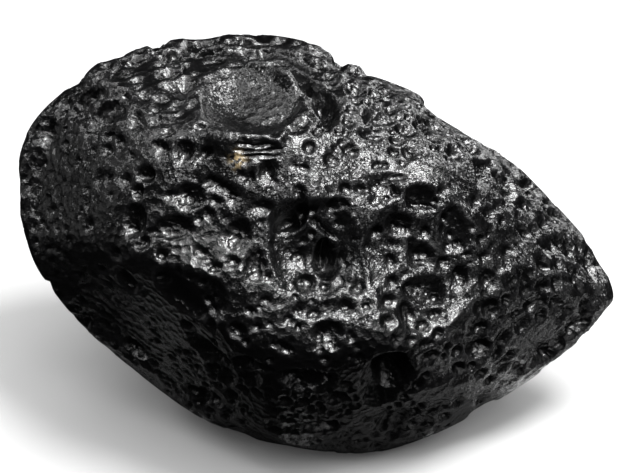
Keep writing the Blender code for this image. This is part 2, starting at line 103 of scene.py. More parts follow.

# ---------------------------------------------------------------- hollows listed one by one

# across and up give the middle on the front, long and wide the half sizes, depth is below zero
# for a bump and lip is the height of a raised rim, all in mm. turn is in degrees. floor is 2 for
# a round hollow, and more for a flatter one with steeper walls.
Hollow = namedtuple("Hollow", "across up long wide turn depth floor lip")
HOLLOWS = tuple(Hollow(*row) for row in (
    # basin in the middle
    (0.1, -0.3, 4.9, 5.0, 0, 1.5, 4.5, 0),
    # basin on the right
    (11.4, -1.5, 6.1, 8.1, 8, 0.91, 6.0, 0),
    # over the crease
    (-13.3, -5.5, 4.6, 2.6, -28, 1.3, 3.0, 0),
    # low basins
    (1.0, -6.7, 4.2, 1.4, 0, 0.45, 2.2, 0),
    (-0.6, -14.5, 3.6, 1.6, 0, 0.95, 3.0, 0),
    (-7.4, -12.7, 1.9, 1.4, 0, 0.82, 2.6, 0),
    (-11.6, -11.2, 2.5, 1.9, -30, 0.75, 2.6, 0),
    (0.3, -19.7, 2.7, 1.1, 0, 0.91, 3.0, 0),
    (13.7, -13.6, 2.8, 1.9, 20, 0.42, 2.6, 0),
    # black hollow by the edge
    (7.6, -14.4, 3.1, 4.9, 10, 1.5, 2.0, 0),
    (8.4, -13.6, 2.3, 3.7, 10, 2.2, 3.0, 0),
    # lower right
    (16.3, -11.3, 4.9, 1.3, 12, 0.38, 2.4, 0),
    (20.3, -13.1, 1.6, 1.4, 0, 0.42, 2.0, 0),
    # triangle
    (-2.7, 2.9, 2.5, 1.8, 35, 1.4, 3.6, 0),
    (-1.3, 3.9, 1.0, 1.5, 0, 0.62, 2.6, 0),
    # edges of the basin
    (1.3, 1.5, 2.6, 0.7, -26, 0.69, 2.4, 0),
    (4.7, -2.5, 2.8, 0.6, -84, 0.35, 2.4, 0),
    (7.3, 6.9, 2.5, 0.6, 0, 0.5, 2.4, 0),
    # beside it
    (2.7, 3.5, 1.6, 1.1, 0, 0.37, 2.6, 0),
    # eye
    (1.3, -1.7, 1.9, 2.1, 0, 2.2, 2.0, 0),
    # pits in the middle
    (-3.0, 1.7, 0.8, 0.7, 0, 0.44, 2.2, 0),
    (-4.1, 1.2, 0.7, 0.6, 0, 0.37, 2.2, 0),
    (-0.5, 0.8, 0.8, 0.6, 0, 0.37, 2.2, 0),
    (2.2, 0.7, 0.9, 0.5, 0, 0.31, 2.2, 0),
    (-1.8, -1.2, 0.9, 0.8, 0, 0.54, 2.2, 0),
    (-1.1, -4.0, 1.4, 0.9, 0, 0.65, 2.2, 0),
    (3.6, -1.5, 0.7, 0.7, 0, 0.47, 2.2, 0),
    (3.8, -2.5, 0.7, 0.8, 0, 0.47, 2.2, 0),
    (3.1, -3.8, 0.7, 0.8, 0, 0.47, 2.2, 0),
    (1.2, -4.4, 0.8, 0.7, 0, 0.44, 2.2, 0),
    (3.3, 5.8, 0.9, 1.0, 0, 0.52, 2.2, 0),
    (2.1, 3.8, 0.9, 0.8, 0, 0.5, 2.2, 0),
    (3.1, 2.2, 0.7, 0.6, 0, 0.37, 2.2, 0),
    (-1.9, -7.0, 0.9, 0.5, 0, 0.36, 2.2, 0),
    (-0.1, -7.3, 0.9, 0.6, 0, 0.44, 2.2, 0),
    (1.3, -9.4, 1.8, 1.5, 0, 0.91, 2.4, 0),
    (0.3, -9.5, 0.8, 0.7, 0, 0.44, 2.2, 0),
    (1.9, -10.7, 0.8, 0.6, 0, 0.38, 2.2, 0),
    (3.6, -9.7, 0.7, 0.7, 0, 0.44, 2.2, 0),
    (-3.3, -10.6, 1.3, 0.8, -20, 0.5, 2.2, 0),
    # right hand pits
    (7.0, 5.6, 1.9, 1.5, 0, 0.77, 2.8, 0),
    (6.5, 6.4, 0.6, 0.6, 0, 0.41, 2.2, 0),
    (8.6, 5.5, 0.7, 0.7, 0, 0.48, 2.2, 0),
    (7.4, 4.5, 0.6, 0.6, 0, 0.41, 2.2, 0),
    (11.3, 4.9, 2.1, 1.6, -20, 0.88, 2.8, 0),
    (10.3, 4.4, 0.8, 0.6, 0, 0.31, 2.2, 0),
    (11.9, 4.2, 0.9, 0.6, -20, 0.31, 2.2, 0),
    (13.4, 5.6, 0.7, 0.7, 0, 0.44, 2.2, 0),
    (8.8, 2.2, 1.8, 1.4, 0, 0.76, 2.4, 0),
    (8.4, 1.7, 0.7, 0.7, 0, 0.44, 2.2, 0),
    (9.6, 1.3, 0.6, 0.6, 0, 0.38, 2.2, 0),
    (6.5, 1.3, 0.8, 0.8, 0, 0.62, 2.2, 0.05),
    (7.9, -0.1, 0.6, 0.6, 0, 0.37, 2.2, 0),
    (12.0, 1.4, 0.7, 0.8, 0, 0.48, 2.2, 0),
    (10.5, 0.1, 0.6, 0.6, 0, 0.38, 2.2, 0),
    (15.0, 1.5, 1.9, 2.7, 12, 0.96, 2.8, 0),
    (14.2, 2.6, 0.7, 0.7, 0, 0.44, 2.2, 0),
    (14.8, 1.0, 0.6, 0.6, 0, 0.38, 2.2, 0),
    (14.4, -0.4, 0.7, 0.7, 0, 0.44, 2.2, 0),
    (15.6, -0.3, 0.8, 0.7, 0, 0.48, 2.2, 0),
    (16.2, -1.3, 0.6, 0.6, 0, 0.38, 2.2, 0),
    (11.3, -1.3, 1.5, 1.4, 0, 0.9, 2.6, 0.06),
    (11.1, -1.0, 0.6, 0.5, 0, 0.31, 2.2, 0),
    (11.3, -1.9, 0.6, 0.5, 0, 0.31, 2.2, 0),
    (12.6, -1.2, 0.6, 0.7, 0, 0.41, 2.2, 0),
    (13.8, -2.2, 0.9, 0.8, 0, 0.59, 2.2, 0),
    (11.9, -5.0, 2.6, 1.6, -15, 0.88, 3.2, 0.12),
    (10.2, -4.5, 0.9, 0.8, 0, 0.46, 2.2, 0),
    (11.5, -4.6, 0.6, 0.6, 0, 0.38, 2.2, 0),
    (13.2, -5.5, 0.8, 0.9, 0, 0.5, 2.2, 0),
    (12.4, -6.1, 0.6, 0.5, 0, 0.31, 2.2, 0),
    (8.2, -3.7, 0.8, 0.8, 0, 0.63, 2.2, 0),
    (15.8, -3.7, 1.2, 1.2, 0, 0.87, 2.3, 0),
    (18.6, -3.9, 1.2, 1.1, 0, 0.68, 2.2, 0),
    (18.1, -6.6, 1.9, 1.3, 0, 0.77, 2.8, 0.06),
    (7.7, -6.2, 1.3, 1.1, 0, 0.8, 2.4, 0),
    (10.1, -7.6, 1.0, 1.7, 0, 0.67, 2.4, 0),
    (7.7, -8.2, 1.0, 0.8, 0, 0.58, 2.2, 0.05),
    (5.6, -6.2, 0.8, 0.7, 0, 0.44, 2.2, 0),
    (12.8, -7.4, 0.9, 0.9, 0, 0.61, 2.2, 0),
    (8.4, -9.8, 0.8, 0.6, 0, 0.35, 2.2, 0),
    (9.8, -9.8, 0.8, 0.6, 0, 0.35, 2.2, 0),
    (11.2, -10.5, 0.7, 0.6, 0, 0.35, 2.2, 0),
    (13.0, -9.7, 0.9, 0.8, 0, 0.46, 2.2, 0),
    (15.0, -10.2, 1.3, 0.9, 0, 0.47, 2.2, 0),
    (12.1, -11.9, 1.3, 0.8, 10, 0.46, 2.2, 0),
    (19.0, 7.6, 1.1, 0.7, -20, 0.52, 2.2, 0),
    (18.7, 3.1, 1.2, 0.9, 0, 0.66, 2.2, 0),
    (22.9, 4.0, 1.5, 0.9, -25, 0.6, 2.2, 0),
    (17.5, 0.6, 0.9, 0.8, 0, 0.55, 2.2, 0),
    (20.7, -0.7, 1.1, 1.0, 0, 0.62, 2.2, 0),
    (25.0, -2.4, 0.9, 0.7, 0, 0.49, 2.2, 0),
    (24.2, -6.2, 1.5, 1.0, 0, 0.62, 2.2, 0),
    (21.2, -4.1, 1.1, 0.8, 0, 0.51, 2.2, 0),
    (21.8, -7.9, 1.3, 1.0, 0, 0.53, 2.2, 0),
    # left hand pits
    (-17.8, 7.3, 1.2, 1.1, 0, 1.1, 2.4, 0.08),
    (-18.6, 5.4, 0.8, 1.0, 0, 0.76, 2.3, 0),
    (-13.0, 5.0, 1.8, 1.7, 0, 0.99, 2.8, 0.05),
    (-13.7, 5.6, 0.7, 0.7, 0, 0.4, 2.2, 0),
    (-9.6, 6.1, 2.0, 1.0, -22, 0.8, 2.8, 0),
    (-15.0, 1.7, 2.2, 1.4, -4, 0.92, 2.8, 0.05),
    (-19.0, 2.5, 1.7, 2.1, -20, 0.88, 2.6, 0.05),
    (-19.7, 1.8, 0.8, 0.9, 0, 0.5, 2.2, 0),
    (-16.1, -1.2, 0.8, 0.8, 0, 0.63, 2.2, 0.06),
    (-24.2, 2.3, 0.8, 0.8, 0, 0.68, 2.2, 0),
    (-23.0, 6.9, 0.8, 1.1, -10, 0.47, 2.2, 0),
    (-21.8, 5.2, 0.6, 0.6, 0, 0.35, 2.2, 0),
    (-24.5, 5.3, 0.6, 0.6, 0, 0.35, 2.2, 0),
    (-19.3, 9.3, 0.7, 0.7, 0, 0.41, 2.2, 0),
    (-26.7, 0.3, 0.7, 0.7, 0, 0.33, 2.2, 0),
    (-20.0, -3.9, 1.5, 1.8, -15, 1.2, 3.0, 0),
    (-16.2, -4.1, 0.9, 0.9, 0, 0.61, 2.4, 0),
    (-7.9, 1.0, 1.5, 1.6, 0, 0.74, 2.4, 0),
    (-6.6, -2.5, 1.4, 1.9, 0, 0.78, 2.4, 0),
    (-5.6, 3.7, 1.5, 1.0, 0, 0.57, 2.4, 0),
    (-11.5, 3.0, 0.9, 0.8, 0, 0.5, 2.2, 0),
    (-11.5, -0.9, 1.1, 0.9, -20, 0.56, 2.2, 0),
    (-11.2, -6.1, 0.8, 0.7, 0, 0.44, 2.2, 0),
    (-14.2, -11.1, 0.9, 0.7, -40, 0.44, 2.2, 0),
    (-12.8, -12.9, 0.8, 0.6, -40, 0.38, 2.2, 0),
    (-9.7, -12.0, 0.9, 1.3, 0, 0.75, 2.4, 0),
    (-7.4, -15.8, 0.9, 0.8, 0, 0.51, 2.2, 0),
    (-7.4, -17.6, 0.7, 0.7, 0, 0.44, 2.2, 0),
    (-3.2, -16.5, 0.9, 0.8, -20, 0.51, 2.2, 0),
    (-1.1, -16.6, 0.9, 0.8, 0, 0.51, 2.2, 0),
    (2.0, -16.5, 1.3, 1.2, 0, 0.7, 2.2, 0),
    # glinting pits low down
    (-7.5, -10.1, 0.6, 0.6, 0, 0.5, 2.2, 0),
    (-6.2, -8.6, 0.6, 0.5, 0, 0.42, 2.2, 0),
    (-8.1, -12.1, 0.6, 0.5, 0, 0.42, 2.2, 0),
    (-7.2, -12.8, 0.6, 0.5, 0, 0.42, 2.2, 0),
    (-4.7, -12.2, 0.6, 0.5, 0, 0.42, 2.2, 0),
    (-1.6, -14.9, 0.6, 0.5, 0, 0.42, 2.2, 0),
    (1.7, -14.3, 0.6, 0.6, 0, 0.5, 2.2, 0),
    (0.8, -16.4, 0.6, 0.5, 0, 0.42, 2.2, 0),
    (2.5, -17.9, 0.6, 0.5, 0, 0.42, 2.2, 0),
    (3.9, -18.1, 0.6, 0.5, 0, 0.42, 2.2, 0),
    (5.9, -19.1, 0.9, 0.5, 0, 0.43, 2.2, 0),
    (5.3, -12.6, 0.6, 0.6, 0, 0.5, 2.2, 0),
    (8.3, -13.6, 0.5, 0.5, 0, 0.32, 2.2, 0),
    (9.7, -14.9, 0.5, 0.5, 0, 0.32, 2.2, 0),
    (-5.2, -17.4, 0.6, 0.5, 0, 0.42, 2.2, 0),
    (-7.7, -14.8, 0.6, 0.5, 0, 0.42, 2.2, 0),
    (-13.0, -13.0, 0.6, 0.5, 0, 0.42, 2.2, 0),
    (-10.7, -10.3, 0.6, 0.5, 0, 0.42, 2.2, 0),
    (4.7, -15.0, 0.5, 0.5, 0, 0.42, 2.2, 0),
    # on the bevel
    (-19.5, -11.5, 1.7, 1.5, -45, 1.3, 2.6, 0),
    (-12.7, -16.5, 1.8, 1.2, -35, 1.2, 2.6, 0),
    (-14.9, -14.3, 1.5, 0.4, -62, 0.34, 2.2, 0),
    (-23.0, -7.9, 1.7, 0.7, -50, 0.37, 2.2, 0),
    # bowl
    (-7.1, 14.5, 5.4, 5.6, 0, 1.8, 2.8, 0.4),
    # swell in the bowl
    (-5.1, 16.6, 3.9, 4.8, 0, -1.3, 2.0, 0),
    # near edge of the bowl
    (-7.0, 11.5, 4.5, 2.2, 0, -0.7, 2.0, 0),
    # ring round it
    (-12.7, 16.1, 1.9, 0.9, 60, -0.6, 2.0, 0),
    (-11.2, 17.8, 2.2, 1.0, 30, -0.8, 2.0, 0),
    (-8.5, 18.3, 2.5, 1.1, 5, -0.9, 2.0, 0),
    (-5.7, 18.1, 2.3, 1.1, -12, -0.9, 2.0, 0),
    (-3.2, 16.8, 2.3, 1.0, -42, -0.8, 2.0, 0),
    # groove round it
    (-4.7, 19.4, 1.9, 1.1, -10, 1.0, 2.2, 0),
    (-2.5, 18.2, 2.5, 1.4, -30, 2.2, 2.6, 0),
    (-0.4, 16.7, 2.5, 1.6, -45, 2.6, 2.6, 0),
    (1.3, 14.6, 3.4, 1.5, 96, 2.4, 2.6, 0),
    # ridge beyond it
    (-2.1, 20.3, 3.4, 0.9, -38, -0.9, 2.0, 0),
    (0.4, 21.0, 2.6, 0.9, -55, -0.8, 2.0, 0),
    # slots by the edge
    (-0.7, 19.9, 1.7, 0.6, -50, 1.0, 2.4, 0),
    # knob
    (4.3, 18.8, 1.2, 1.4, 0, -1.1, 3.0, 0),
    # slots by the edge
    (-6.7, 22.3, 2.3, 0.8, 0, 1.5, 2.6, 0),
    (-15.3, 20.9, 1.1, 0.9, 0, 1.0, 2.2, 0),
    (-17.9, 21.2, 0.8, 0.7, 0, 0.8, 2.2, 0),
    (-11.8, 21.3, 1.7, 0.6, 0, 0.7, 2.2, 0),
    (-5.7, 20.4, 0.9, 1.2, 0, 1.0, 2.2, 0),
    # dents behind the ridge
    (3.9, 16.5, 1.1, 0.9, 0, 0.9, 2.4, 0),
    (3.9, 14.4, 1.2, 1.0, 0, 0.9, 2.4, 0),
    (6.8, 13.9, 2.4, 1.2, -10, 0.9, 2.6, 0),
    (6.0, 11.6, 1.7, 0.8, -10, 0.7, 2.4, 0),
    (-0.4, 10.1, 0.9, 0.9, 0, 0.6, 2.2, 0.05),
    (1.7, 8.7, 1.0, 0.9, 0, 0.6, 2.2, 0),
    (3.6, 9.8, 1.2, 0.8, 0, 0.6, 2.2, 0),
    (9.8, 12.2, 1.4, 1.0, -20, 0.6, 2.2, 0),
    # top of the blunt end
    (-11.7, 12.2, 1.0, 0.7, 0, 0.7, 2.2, 0),
    (-13.6, 10.0, 1.4, 1.3, -20, 0.8, 2.4, 0),
    (-19.0, 13.4, 1.1, 1.2, 0, 0.7, 2.2, 0),
    (-20.7, 18.5, 1.5, 1.0, 10, 0.6, 2.2, 0),
    (-23.3, 16.0, 1.2, 1.0, 20, 0.7, 2.2, 0),
    (-16.2, 18.4, 1.4, 1.4, 0, 0.8, 2.2, 0),
    (-11.0, 20.0, 1.4, 1.2, 0, 0.5, 2.2, 0),
    (-16.6, 15.3, 1.2, 1.2, 0, 0.6, 2.2, 0),
))
LAYERS = (2.3, 1.25)             # half sizes in mm that part basins, hollows and pits; they add up
PIT_FLOOR = 2.2                  # the floor of every seeded pit
PIT_UNEVEN = (0.85, 1.15)        # from and to which its width is stretched
PIT_GAP = 0.68                   # least distance between two pits, as a share of their radii
BARE_SHARE = 0.4                 # depth over half width past which a hollow has no seeded pits
LIP_RING, LIP_WIDTH, LIP_REACH = 1.1, 0.17, 1.6   # a raised rim's radius, width and end

# ---------------------------------------------------------------- seeded pits

# Smooth places: across, up and out in mm, then a radius in mm.
SMOOTH = (
    (-29.0, 3.0, 8.0, 9.0),          # blunt end
    (-20.0, -12.0, 8.0, 9.0),        # streaked bevel
    (1.0, -17.0, 12.0, 8.5),         # lower edge of the front
    (-7.0, 15.0, 12.0, 6.5),         # bowl
    (32.5, -5.4, 0.0, 3.0),          # tip
)
# Places whose hollows are listed one by one, in the same way.
DRAWN = (
    (-15.0, 1.0, 16.0, 12.0),        # left
    (3.0, -5.0, 19.0, 14.0),         # middle
    (15.0, 0.0, 15.0, 9.0),          # right
)
UNDER_POINT = ((20.0, -13.0, 6.0, 9.0),)

# count, smallest and largest radius in mm, depth and width as shares of the radius, from and to
# which turn in degrees, a place (across, up, out and radius in mm) or all over, which places are
# kept clear, and the seed
Pits = namedtuple("Pits", "count small large share slim turns within clear seed")
ALL_OVER = None
ANY_TURN = (-90, 90)
PITS = (
    Pits(60, 2.4, 4.2, 0.14, 0.85, ANY_TURN, ALL_OVER, SMOOTH + DRAWN, 20),
    Pits(150, 1.3, 2.2, 0.42, 0.9, ANY_TURN, ALL_OVER, SMOOTH + DRAWN, 21),
    Pits(400, 0.9, 1.25, 0.62, 0.9, ANY_TURN, ALL_OVER, SMOOTH, 22),
    Pits(900, 0.55, 0.90, 0.70, 0.9, ANY_TURN, ALL_OVER, SMOOTH + DRAWN + UNDER_POINT, 23),
    Pits(110, 0.6, 2.0, 0.10, 0.26, (-68, -38), (-20.0, -12.0, 8.0, 10.0), (), 24),
    Pits(90, 0.4, 0.7, 0.50, 0.8, (-68, -38), (-20.0, -12.0, 8.0, 10.0), (), 29),
    Pits(90, 0.45, 0.9, 0.50, 0.8, (-40, 0), (0.0, -17.0, 12.0, 10.0), (), 25),
    Pits(130, 0.4, 0.8, 0.65, 0.9, ANY_TURN, (-29.0, 5.0, 8.0, 11.0), (), 27),
    Pits(60, 0.4, 0.6, 0.70, 0.9, ANY_TURN, (-25.0, 14.5, 6.0, 6.0), (), 30),
    Pits(50, 0.45, 0.8, 0.60, 0.9, ANY_TURN, (14.0, -2.0, 16.0, 11.0), (), 26),
    Pits(110, 0.6, 1.3, 0.16, 0.45, (5, 60), (20.0, -11.5, 6.0, 9.0), (), 31),
    Pits(50, 0.45, 0.8, 0.60, 0.9, ANY_TURN, (-3.0, 1.0, 18.0, 12.0), (), 28),
)

# Frosted places: across, up and out in mm, then a radius in mm and how frosted. Below zero, the
# place is cleaned of the frost of those round it.
FROSTED = (
    (16.0, 3.0, 14.0, 17.0, 0.95),   # right of the ridge
    (8.0, 14.0, 10.0, 13.0, 0.95),   # slope behind it
    (-7.0, 15.0, 12.0, 12.0, 0.85),  # bowl and its rim
    (27.0, -3.0, 4.0, 10.0, 0.85),   # the point
    (0.0, 2.0, 18.0, 12.0, 0.60),    # middle
    (-18.0, 16.0, 8.0, 12.0, 0.60),  # top of the blunt end
    (-14.0, 3.0, 16.0, 10.0, 0.20),  # left of the middle
    (18.0, -12.0, 8.0, 10.0, 0.75),  # under the point
    (0.0, 0.0, -18.0, 24.0, 0.70),   # back
    (-29.0, 3.0, 8.0, 14.0, 0.55),   # blunt end
    (-18.0, -13.0, 8.0, 10.0, 0.45),  # streaked bevel
    (-2.5, 17.5, 9.0, 2.2, -6.0),    # groove beyond the bowl
    (0.8, 15.6, 9.5, 2.4, -6.0),     # and to the right of it
    (7.6, -14.4, 14.0, 6.0, -1.0),   # black hollow
)
CHIP = Hollow(-6.0, 9.9, 2.8, 1.3, -4, 0.35, 5.0, 0)   # a flake broken off under the bowl
STAIN = (-8.1, 8.8, 18.7, 0.7)   # earth caught beside it: across, up, out and radius in mm
RIDGE_GAIN = 0.5                 # mm
FROST_IN_PITS = 0.20             # share of the frost left on the floors of the pits
PIT_SHINE = 0.35                 # mm deep at which a pit has no more than that
CLEAN_FROM, CLEAN_TO = 1.8, 2.3  # mm of depth over which a hollow loses all its frost

# Patterns in the glass and on the floor that it reflects, in repeats to the metre; the patches on
# that floor are painted light.
MOTTLES, BEADS, TINY_FACETS, GRAINS = 420.0, 1250.0, 6000.0, 6500.0
BAR_WOBBLES, EARTH_SPECKS, FLOOR_PATCHES = 700.0, 1600.0, 90.0
BEAD_SOFTNESS = 0.25
FLAKE_BARS = 4.8                 # radians to the mm up the flake
BAR_WOBBLE = 0.5                 # radians either way
GLASS_IOR = 1.5

PATCH_STEPS = (170, 119, 98)     # faces along X, Y and Z of the six patches
FRONT_SHARE = 0.25               # how much closer together the front's points are
LEVEL_STEP = 0.01                # of a unit direction, for the surface's slope
CANDIDATES = 12                  # places tried for each seeded pit

# ---------------------------------------------------------------- the stage

FAR_FLOOR = (3.0, 3.0)           # m: half sizes of the whole floor
NEAR_FLOOR = (0.048, 0.020)      # and of the oval of it that only the glass reflects: a sheet of painted shade
NEAR_PLACE = 0.012               # m along X to that oval's middle
FLOOR_STEP = 0.00005             # m from one to the other
FLOOR_SIDES = 96
FLOOR_PINHOLE = 0.001            # the hole in its middle, as a share of its size
FLOOR_ROUGHNESS = 0.6
KEY_WAY = (0.34, -0.08, 0.93)    # direction of the key light from the stone
PANEL_WAY = (0.12, -0.15, 0.98)  # of the soft panel overhead
FILL_WAY = (-0.75, 0.25, 0.61)   # of the small lamp over the blunt end
BACK_WAY = (0.55, 0.80, 0.25)    # of the lamp behind the point
SIDE_WAY = (0.75, -0.55, 0.40)   # of the broad weak light beside the point
BLUNT_WAY = (-0.95, 0.28, 0.12)  # of the weak lamp beside the blunt end
LIGHT_DISTANCE = 0.45            # m
FAR_LIGHT = 1.5                  # times that for those that stand further off
FRAME_WIDTH = 0.0711111111       # m across the camera's view at the girdle
AIM = (0.0005, 0.00078)          # m across and up from the girdle's centre to the view's

# ---------------------------------------------------------------- outline

def closed_curve(points, steps=24):
    """Points along the smooth closed curve through the given ones (Catmull-Rom)."""
    points = np.array(points)
    before, here, after, last = (np.roll(points, k, axis=0)[:, None] for k in (1, 0, -1, -2))
    t = np.linspace(0, 1, steps, endpoint=False)[None, :, None]
    curve = 0.5 * (2 * here + (after - before) * t
                   + (2 * before - 5 * here + 4 * after - last) * t ** 2
                   + (3 * here - before - 3 * after + last) * t ** 3)
    return curve.reshape(-1, 2)


def reach_tables(count=720):
    """Clock angles, the outline's distance from the centre at each, and the same blurred: averaged
    over the clock with the weight exp(-(angle / CORNER_BLUR) ** 2).
    """
    curve = closed_curve(GIRDLE)
    clock = np.arctan2(curve[:, 1], curve[:, 0])
    order = np.argsort(clock)
    reach = np.hypot(curve[:, 0], curve[:, 1])
    angles = np.linspace(-math.pi, math.pi, count, endpoint=False)
    sharp = np.interp(angles, clock[order], reach[order], period=2 * math.pi)
    apart = np.minimum(angles + math.pi, math.pi - angles)
    kernel = np.exp(-(apart / CORNER_BLUR) ** 2)
    blurred = np.fft.irfft(np.fft.rfft(sharp) * np.fft.rfft(kernel / kernel.sum()), count)
    return angles, sharp, blurred


# ---------------------------------------------------------------- the plain stone

def domes(ways):
    """Two domes on the outline, for unit directions: a superellipse from girdle to crown."""
    angles, sharp, blurred = reach_tables()
    clock = np.arctan2(ways[:, 1], ways[:, 0])
    rise = np.abs(ways[:, 2]).clip(0, 1)
    run = np.sqrt(1 - rise ** 2)
    stretch = (run ** FULLNESS + rise ** FULLNESS) ** (-1 / FULLNESS)
    run, rise = run * stretch, rise * stretch
    corner = np.interp(clock, angles, sharp, period=2 * math.pi)
    soft = np.interp(clock, angles, blurred, period=2 * math.pi)
    reach = soft + (corner - soft) * run ** 3
    front = ways[:, 2] > 0
    crown = np.where(front[:, None], FRONT_CROWN, BACK_CROWN)
    ring = np.column_stack([np.cos(clock), np.sin(clock)]) * reach[:, None]
    flat = ring * run[:, None] + crown * (1 - run[:, None])
    tip_clock = math.atan2(GIRDLE[0][1], GIRDLE[0][0])
    from_tip = (clock - tip_clock + math.pi) % (2 * math.pi) - math.pi
    pinch = 1 - TIP_PINCH * run * np.exp(-(from_tip / TIP_SPREAD) ** 2)
    out = np.where(front, FRONT_RISE, -BACK_RISE) * rise * pinch
    return np.column_stack([flat, out])


def facet_normal(facet):
    """The unit normal at a facet's clock round the girdle and its tilt away from out."""
    clock, tilt = math.radians(facet.clock), math.radians(facet.tilt)
    run = math.sin(tilt)
    return np.array([math.cos(clock) * run, math.sin(clock) * run, math.cos(tilt)])


def worn(points, facets, hold):
    """The points with each facet's plane cut: those past it go back along its normal.

    Within one rounding of the plane the cut is a parabola. hold is 0 where nothing is cut.
    """
    for facet in facets:
        normal = facet_normal(facet)
        past = points @ normal - facet.distance
        edge = (past + facet.rounding) ** 2 / (4 * facet.rounding)
        cut = np.where(past > facet.rounding, past, np.where(past < -facet.rounding, 0, edge))
        points = points - (hold * cut)[:, None] * normal
    return points


def waves(points, wavelength, seed):
    """Sine waves in seeded directions added together, with a spread of about one."""
    random = np.random.default_rng(seed)
    facing = random.normal(size=(WAVES, 3))
    facing *= 2 * math.pi / wavelength / np.linalg.norm(facing, axis=1, keepdims=True)
    phase = random.uniform(0, 2 * math.pi, WAVES)
    return np.sin(points @ facing.T + phase).sum(axis=1) * math.sqrt(2 / WAVES)


def plain_stone(ways):
    """The stone without its hollows: the domes with their swells, then the worn faces."""
    points = domes(ways)
    hold = (np.abs(ways[:, 2]) / GIRDLE_HOLD).clip(0, 1)
    swell = sum(height * waves(points, wavelength, seed) for wavelength, height, seed in SWELLS)
    return worn(points + (hold * swell)[:, None] * ways, FACETS, hold)


def unit(vectors):
    """Each vector over its own length."""
    return vectors / np.linalg.norm(vectors, axis=-1, keepdims=True)


def patches(ways, surface=plain_stone):
    """A surface's points, outward normals and how much area each direction stands for.

    The normal is the cross product of the ways that a point goes when its direction moves a
    little, first along one level line and then along the other. The area is its length.
    """
    aside = unit(np.cross(ways, (0.31, 0.52, 0.79)))
    other = np.cross(ways, aside)
    step = LEVEL_STEP
    along = surface(unit(ways + step * aside)) - surface(unit(ways - step * aside))
    across = surface(unit(ways + step * other)) - surface(unit(ways - step * other))
    normals = np.cross(along, across)
    return surface(ways), unit(normals), np.linalg.norm(normals, axis=1)


# ---------------------------------------------------------------- hollows and pits

def front_sites(spots):
    """Points and outward normals of the plain stone's front nearest to each (across, up)."""
    clock, rise = np.meshgrid(np.linspace(-math.pi, math.pi, 360, endpoint=False),
                              np.linspace(0, math.pi / 2, 120))
    clock, rise = clock.ravel(), rise.ravel()
    run = np.cos(rise)
    ways = np.column_stack([np.cos(clock) * run, np.sin(clock) * run, np.sin(rise)])
    flat = plain_stone(ways)[:, :2]
    nearest = [np.argmin(((flat - spot) ** 2).sum(axis=1)) for spot in spots]
    centres, normals, _ = patches(ways[nearest])
    return centres, normals


def dig(points, centre, normal, long, wide, turn, depth, floor, lip):
    """Where and how deep one oval hollow cuts points that are sorted by their first coordinate.

    The depth is depth * (1 - r ** floor) inside the rim at r = 1, less a raised lip round it.
    """
    reach = max(long, wide) * (LIP_REACH if lip else 1)
    span = slice(*np.searchsorted(points[:, 0], (centre[0] - reach, centre[0] + reach)))
    level = unit(np.cross((0.0, 1.0, 0.0), normal))
    upward = np.cross(normal, level)
    angle = math.radians(turn)
    major = math.cos(angle) * level + math.sin(angle) * upward
    minor = np.cross(normal, major)
    apart = points[span] - centre
    aside = apart @ normal / (2 * max(long, wide))
    radius = np.sqrt((apart @ major / long) ** 2 + (apart @ minor / wide) ** 2 + aside ** 2)
    cut = depth * (1 - radius ** floor).clip(0, 1)
    if lip:
        cut -= lip * np.exp(-((radius - LIP_RING) / LIP_WIDTH) ** 2)
    return span, cut


def scattered(pits, taken_centres, taken_radii):
    """Seeded centres, normals and radii, evenly spread and clear of the hollows already there."""
    random = np.random.default_rng(pits.seed)
    ways = random.normal(size=(pits.count * CANDIDATES, 3))
    if pits.within:
        place, size = np.array(pits.within[:3]), pits.within[3]
        ways = place + ways * size / 2
    centres, normals, area = patches(unit(ways))
    kept = random.uniform(size=len(area)) < area / area.max()
    if pits.within:
        kept &= np.linalg.norm(centres - place, axis=1) < size
    for across, up, out, size in pits.clear:
        kept &= np.linalg.norm(centres - (across, up, out), axis=1) > size
    centres, normals = centres[kept], normals[kept]
    radii = pits.small + (pits.large - pits.small) * random.uniform(size=len(centres)) ** 2
    kept_centres, kept_radii, kept = list(taken_centres), list(taken_radii), []
    for index, radius in enumerate(radii):
        if len(kept) == pits.count:
            break
        gap = np.linalg.norm(np.array(kept_centres) - centres[index], axis=1)
        if (gap > PIT_GAP * (pits.slim * radius + np.array(kept_radii))).all():
            kept.append(index)
            kept_centres.append(centres[index])
            kept_radii.append(pits.slim * radius)
    return centres[kept], normals[kept], radii[kept]


def layer_of(size):
    """1 for basins, 2 for hollows in them and 3 for pits in those."""
    return 1 + sum(size <= limit for limit in LAYERS)


